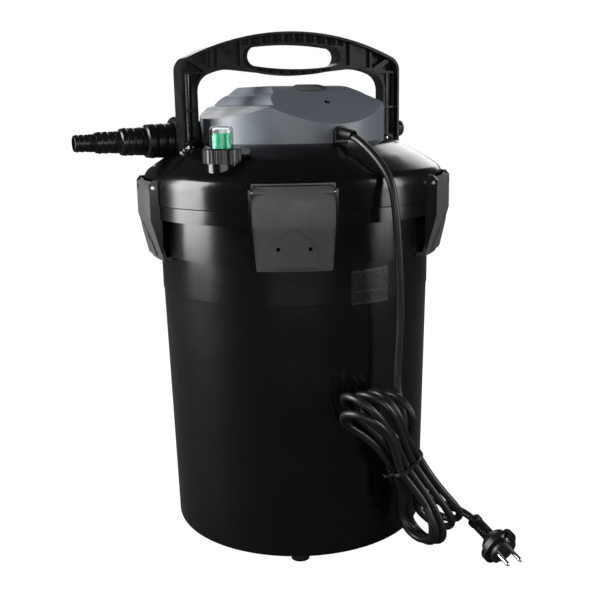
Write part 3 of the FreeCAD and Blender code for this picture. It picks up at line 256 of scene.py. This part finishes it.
LOOKS = {
    gloss_black: ["canister", "lid", "lamp_head", "sleeve_nut"],
    satin_black: ["handle", "rod_guides", "lock_knob", "press_plate", "top_grid", "centre_tube", "ballast",
                  "outlet_tail", "outlet_nut", "inlet_tail", "inlet_nut", "indicator_nut", "cable_gland"],
    hood_grey: ["hood"],
    clamp_grey: ["clamp_%d" % n for n in range(1, 6)],
    badge_grey: ["hood_badge"],
    soft_rubber: ["rubber_feet", "lid_seal", "sleeve_seal", "outlet_gasket", "inlet_gasket", "indicator_seal",
                  "cord_boot", "plug_body"],
    steel: ["clamp_pins", "pull_rods", "rod_nuts", "hood_screws", "plug_earth_clips"],
    nickel: ["plug_pins"],
    clear_plastic: ["indicator_dome", "uv_window"],
    float_green: ["indicator_float"],
    foam_blue: ["foam_ring_%d" % n for n in range(1, 5)],
    quartz_glass: ["quartz_sleeve", "uv_lamp"],
    pale_plastic: ["lamp_socket", "terminal_block"],
    blank_plate: ["rating_plate"],
}
DEFAULT_BEVEL = 0.3
BEVELS = {                             # widths of the rounded edges, in mm
    "canister": 1.2, "lid": 1.6, "hood": 2.2, "handle": 0.7, "cable_gland": 0.8, "hood_badge": 0.5,
    "lock_knob": 0.4, "outlet_nut": 0.8, "inlet_nut": 0.8, "indicator_nut": 0.7, "plug_body": 0.6,
    "outlet_tail": 0.3, "inlet_tail": 0.3, "rubber_feet": 1.0, "plug_pins": 0.2, "plug_earth_clips": 0.2,
    "ballast": 1.0, "lamp_head": 0.8, "press_plate": 0.6, "rod_nuts": 0.4, "rod_guides": 0.4,
    "cord_boot": 0.4, "indicator_dome": 0.3, "indicator_float": 0.4, "rating_plate": 0.2,
    **{"clamp_%d" % n: 0.7 for n in range(1, 6)},
}
MADE = {look: look() for look in LOOKS}


def soften(obj, width):
    """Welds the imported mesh, rounds its sharp edges and shades it smooth."""
    for polygon in obj.data.polygons:
        polygon.use_smooth = True
    weld = obj.modifiers.new("weld", "WELD")
    weld.merge_threshold = 1e-5
    bevel = obj.modifiers.new("rounded_edges", "BEVEL")
    bevel.width = width / 1000
    bevel.segments = 3
    bevel.limit_method = "ANGLE"
    bevel.angle_limit = math.radians(32)
    bevel.use_clamp_overlap = True
    bevel.harden_normals = False
    weighted = obj.modifiers.new("flat_faces_stay_flat", "WEIGHTED_NORMAL")
    weighted.keep_sharp = False
    weighted.weight = 60


def dress_nodes():
    """Gives every CAD node its material and rounded edges."""
    for look, names in LOOKS.items():
        for name in names:
            obj = NODES[name]
            obj.data.materials.clear()
            obj.data.materials.append(MADE[look])
            soften(obj, BEVELS.get(name, DEFAULT_BEVEL))


# ---------------------------------------------------------------- mains lead

# The hank lies in a plane that leans on the canister: its points are (across, height, depth) there.
LEAD_DIAMETER = 0.0085
LEAD_ROUTE = [
    (0.0514, -0.0948, 0.4801), (0.0625, -0.1125, 0.4788), (0.0750, -0.1280, 0.4695),
    (0.0890, -0.1435, 0.4540), (0.1010, -0.1570, 0.4340), (0.1050, -0.1615, 0.4070),
    (0.1080, -0.1600, 0.3730), (0.1105, -0.1560, 0.3330), (0.1120, -0.1520, 0.2900),
    (0.1105, -0.1490, 0.2470), (0.1085, -0.1465, 0.2080),
]
TAIL_ROUTE = [(0.1780, -0.0970, 0.0420), (0.1900, -0.1060, 0.0410), (0.2010, -0.1180, 0.0367)]
HANK_TURN = math.radians(26.7)
HANK_OFFSET, HANK_LEAN = 0.183, 0.025
WAIST = Vector((0.039, 0.121))         # along the hank's plane and up
UP_WAY, DOWN_WAY = math.radians(121), math.radians(-60)
LOOP_RADIUS = 0.0255
TIE_TURNS, TIE_STEPS = 2, 20
TIE_HALF_WIDE, TIE_HALF_DEEP, TIE_RADIUS = 0.0205, 0.0150, 0.0011
TIE_END, TIE_END_RADIUS = 0.010, 0.0010
LOWEST_CENTRE = 0.0052                 # the lead's centre line keeps this height over the floor
HANK_ENTRY = [(0.0350, 0.180), (0.0370, 0.152)]
TAIL_BEHIND = [(0.079, 0.068, -0.031), (0.099, 0.051, -0.031)]     # the tail leaves behind the loops
PLUG_WAY = Vector((0.483, -0.806, -0.342))
PLUG_REACH = 0.006                     # how far the lead runs into the plug


def on_hank(across, height, depth):
    """A point of the hank's plane, which leans on the canister; depth is towards the viewer's side."""
    side = Vector((math.cos(HANK_TURN), math.sin(HANK_TURN), 0))
    out = Vector((math.sin(HANK_TURN), -math.cos(HANK_TURN), 0))
    height = max(height, LOWEST_CENTRE)
    return side * across + out * (HANK_OFFSET + HANK_LEAN * height + depth) + Vector((0, 0, height))


def ease(x):
    """Smooth step from 0 to 1."""
    return x * x * (3 - 2 * x)


def way(angle):
    """A direction in the hank's plane."""
    return Vector((math.cos(angle), math.sin(angle)))


def loop_points(angle, reach, depth, tilt, entry, leave):
    """One end loop of the hank: out along one strand, round the fold and back to the waist.
    entry and leave are waist slots (across the waist, depth); tilt turns the loop about its own length."""
    axis = way(angle)
    over = Vector((axis.y * math.cos(tilt), -axis.x * math.cos(tilt), math.sin(tilt)))
    top = axis.y > 0
    straight = way(UP_WAY if top else DOWN_WAY)
    slot_side = Vector((straight.y, -straight.x)) * (1 if top else -1)
    span = reach - LOOP_RADIUS
    centre = Vector((*(WAIST + axis * span), depth))

    def strand(slot, side, fractions):
        rows = []
        for f in fractions:
            h = ease(f) * 0.55 + f * 0.45
            near = WAIST + slot_side * slot[0] + straight * (f * span)
            near = Vector((*near, slot[1]))
            far = centre + side * LOOP_RADIUS - Vector((*axis, 0)) * ((1 - f) * span)
            rows.append(tuple(near.lerp(far, h)))
        return rows

    rows = strand(entry, -over, (0.0, 0.25, 0.55, 0.8))
    for step in range(7):
        a = math.pi * step / 6
        spot = centre - over * (LOOP_RADIUS * math.cos(a)) + Vector((*axis, 0)) * (LOOP_RADIUS * math.sin(a))
        rows.append(tuple(spot))
    rows += strand(leave, over, (0.8, 0.55, 0.25))
    return rows


# Slots at the waist are (column, layer). A loop is (angle, reach, depth, tilt) in degrees and mm.
COLUMN, LAYER = 0.0090, 0.0088
DESCENTS = [(-1, 0), (-1.5, 1), (-0.5, 1), (0.5, 1), (1.5, 1), (1, 0)]
ASCENTS = [(-1.5, -1), (-0.5, -1), (0.5, -1), (1.5, -1), (0, 0)]
TOP_LOOPS = [(136, 101, 1, 70), (129, 114, -1, 80), (122, 105, 2, 72), (114, 96, -1, 82), (105, 87, 1, 72)]
BOTTOM_LOOPS = [(-78, 101, 1, -78), (-74, 108, -1, -82), (-70, 111, 1, -76), (-60, 105, 0, -74),
                (-53, 104, 2, -70)]


def slot(pair):
    """A waist slot in metres."""
    return pair[0] * COLUMN, pair[1] * LAYER


def hank_points():
    """The tied hank: five turns, each down through the waist, round the bottom, up, and round the top."""
    points = []
    for turn in range(5):
        for loops, entry, leave in ((BOTTOM_LOOPS, DESCENTS[turn], ASCENTS[turn]),
                                    (TOP_LOOPS, ASCENTS[turn], DESCENTS[turn + 1])):
            angle, reach, depth, tilt = loops[turn]
            points += loop_points(math.radians(angle), reach / 1000, depth / 1000, math.radians(tilt),
                                  slot(entry), slot(leave))
    last = slot(DESCENTS[-1])
    straight = way(DOWN_WAY)
    start = WAIST + Vector((-straight.y, straight.x)) * last[0]
    points += [(start.x, start.y, last[1]), (start.x + 0.014, start.y - 0.020, -0.016)] + TAIL_BEHIND
    return [on_hank(*p) for p in points]


def tube(name, points, radius, material, resolution=6):
    """A round tube along one open NURBS spline of order 3."""
    curve = bpy.data.curves.new(name, "CURVE")
    curve.dimensions = "3D"
    curve.bevel_depth = radius
    curve.bevel_resolution = 6
    curve.use_fill_caps = True
    spline = curve.splines.new("NURBS")
    spline.points.add(len(points) - 1)
    for control, point in zip(spline.points, points):
        control.co = (*point, 1)
    spline.order_u = 3
    spline.use_endpoint_u = True
    spline.resolution_u = resolution
    curve.materials.append(material)
    obj = bpy.data.objects.new(name, curve)
    bpy.context.scene.collection.objects.link(obj)
    return obj


def make_lead():
    """The whole mains lead: down from the gland, through the hank and into the plug."""
    entry = [on_hank(across, height, 0.0) for across, height in HANK_ENTRY]
    points = [Vector(p) for p in LEAD_ROUTE] + entry + hank_points() + [Vector(p) for p in TAIL_ROUTE]
    points.append(points[-1] + PLUG_WAY * PLUG_REACH)
    lead = tube("mains_lead", points, LEAD_DIAMETER / 2, MADE[soft_rubber])
    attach(lead, "filter")
    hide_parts("power_cord", "cord_hank", "cord_tail")
    return lead


def make_tie():
    """Thin wire tie wound twice round the waist, its twisted ends standing off to the left."""
    axis = way(UP_WAY)
    side = Vector((-axis.y, axis.x))
    points = []
    for n in range(TIE_TURNS * TIE_STEPS + 1):
        a = 2 * math.pi * n / TIE_STEPS + math.pi
        squeeze = 1 / (abs(math.cos(a)) ** 3 + abs(math.sin(a)) ** 3) ** (1 / 3)
        climb = 0.003 - 0.0025 * n / TIE_STEPS
        spot = WAIST - side * (TIE_HALF_WIDE * math.cos(a) * squeeze) + axis * climb
        points.append(on_hank(spot.x, spot.y, TIE_HALF_DEEP * math.sin(a) * squeeze))
    tie = tube("wire_tie", points, TIE_RADIUS, MADE[soft_rubber])
    ends = []
    for phase in (0, math.pi):
        twist = []
        for n in range(19):
            f = n / 18
            a = phase + f * 5 * math.pi
            spot = WAIST + side * (TIE_HALF_WIDE + TIE_END * f) + axis * (0.002 + 0.006 * f * f)
            spot = spot + axis * (TIE_RADIUS * math.cos(a))
            twist.append(on_hank(spot.x, spot.y, TIE_RADIUS * math.sin(a) + 0.004))
        ends.append(tube("wire_tie_end_%d" % len(ends), twist, TIE_END_RADIUS, MADE[soft_rubber], 4))
    for piece in [tie] + ends:
        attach(piece, "filter")
    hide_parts("cord_tie")
    return [tie] + ends


# ---------------------------------------------------------------- studio

CAMERA_PLACE = (0, -1.0966, 0.5131)
CAMERA_TURN = (0.2136, 0.0051, -0.0189)     # pitch down, pan and roll, in radians
CAMERA_LENS, CAMERA_SENSOR = 54.53, 36      # mm


def make_camera():
    """Pinhole camera a little above the lid, 12 degrees down."""
    pitch, pan, roll = CAMERA_TURN
    forward = Vector((math.sin(pan) * math.cos(pitch), math.cos(pan) * math.cos(pitch), -math.sin(pitch)))
    right = Vector((math.cos(pan), -math.sin(pan), 0))
    up = right.cross(forward)
    right, up = (math.cos(roll) * right + math.sin(roll) * up, math.cos(roll) * up - math.sin(roll) * right)
    data = bpy.data.cameras.new("camera")
    data.lens = CAMERA_LENS
    data.sensor_width = CAMERA_SENSOR
    data.clip_start, data.clip_end = 0.05, 50
    camera = bpy.data.objects.new("camera", data)
    bpy.context.scene.collection.objects.link(camera)
    basis = Matrix((right, up, -forward)).transposed().to_4x4()
    basis.translation = Vector(CAMERA_PLACE)
    camera.matrix_world = basis
    bpy.context.scene.camera = camera


def area_light(name, place, target, size, energy):
    """A rectangular soft light at place that faces target; size in metres, energy in watts."""
    data = bpy.data.lights.new(name, "AREA")
    data.shape = "RECTANGLE"
    data.size, data.size_y = size
    data.energy = energy
    light = bpy.data.objects.new(name, data)
    bpy.context.scene.collection.objects.link(light)
    light.location = place
    light.rotation_mode = "QUATERNION"
    light.rotation_quaternion = (Vector(target) - Vector(place)).to_track_quat("-Z", "Y")


def make_studio():
    """White surroundings seen by the camera only, a pale floor and four soft lights."""
    world = bpy.data.worlds.new("studio")
    world.use_nodes = True
    bpy.context.scene.world = world
    tree = world.node_tree
    tree.nodes["Background"].inputs["Color"].default_value = (0.95, 0.97, 1.0, 1)
    tree.nodes["Background"].inputs["Strength"].default_value = 0.05
    seen = tree.nodes.new("ShaderNodeBackground")
    seen.inputs["Color"].default_value = (1, 1, 1, 1)
    seen.inputs["Strength"].default_value = 1.0
    path = tree.nodes.new("ShaderNodeLightPath")
    mix = tree.nodes.new("ShaderNodeMixShader")
    tree.links.new(path.outputs["Is Camera Ray"], mix.inputs["Fac"])
    tree.links.new(tree.nodes["Background"].outputs[0], mix.inputs[1])
    tree.links.new(seen.outputs[0], mix.inputs[2])
    tree.links.new(mix.outputs[0], tree.nodes["World Output"].inputs["Surface"])

    mesh = bpy.data.meshes.new("floor")
    half = 6.0
    corners = [(-half, -half, 0), (half, -half, 0), (half, half, 0), (-half, half, 0)]
    mesh.from_pydata(corners, [], [(0, 1, 2, 3)])
    floor = bpy.data.objects.new("floor", mesh)
    bpy.context.scene.collection.objects.link(floor)
    pale = Mat("pale_floor", (0.09, 0.09, 0.09), 0.8)
    pale.rough(pale.spread(pale.noise(20, 3), 0.75, 0.9))
    pale.bsdf.inputs["Specular IOR Level"].default_value = 0.1
    seen = pale.tree.nodes.new("ShaderNodeLightPath").outputs["Is Camera Ray"]
    pale.bsdf.inputs["Emission Color"].default_value = (1, 1, 1, 1)
    pale.feed(pale.bsdf.inputs["Emission Strength"], seen)
    mesh.materials.append(pale.mat)

    area_light("key_left", (-2.15, -0.3, 0.85), (0, 0, 0.3), (1.2, 1.7), 100)
    area_light("fill_right", (2.2, -0.6, 0.9), (0, 0, 0.3), (0.8, 1.6), 38)
    area_light("front", (0.2, -3.2, 0.45), (0, 0, 0.35), (2.6, 0.8), 29)
    area_light("back", (0.3, 2.2, 1.2), (0, 0, 0.4), (2.0, 1.2), 18)
    bpy.context.scene.view_settings.view_transform = "Standard"


# ---------------------------------------------------------------- build

make_camera()
lead = make_lead()
tie = make_tie()
dress_nodes()
make_studio()
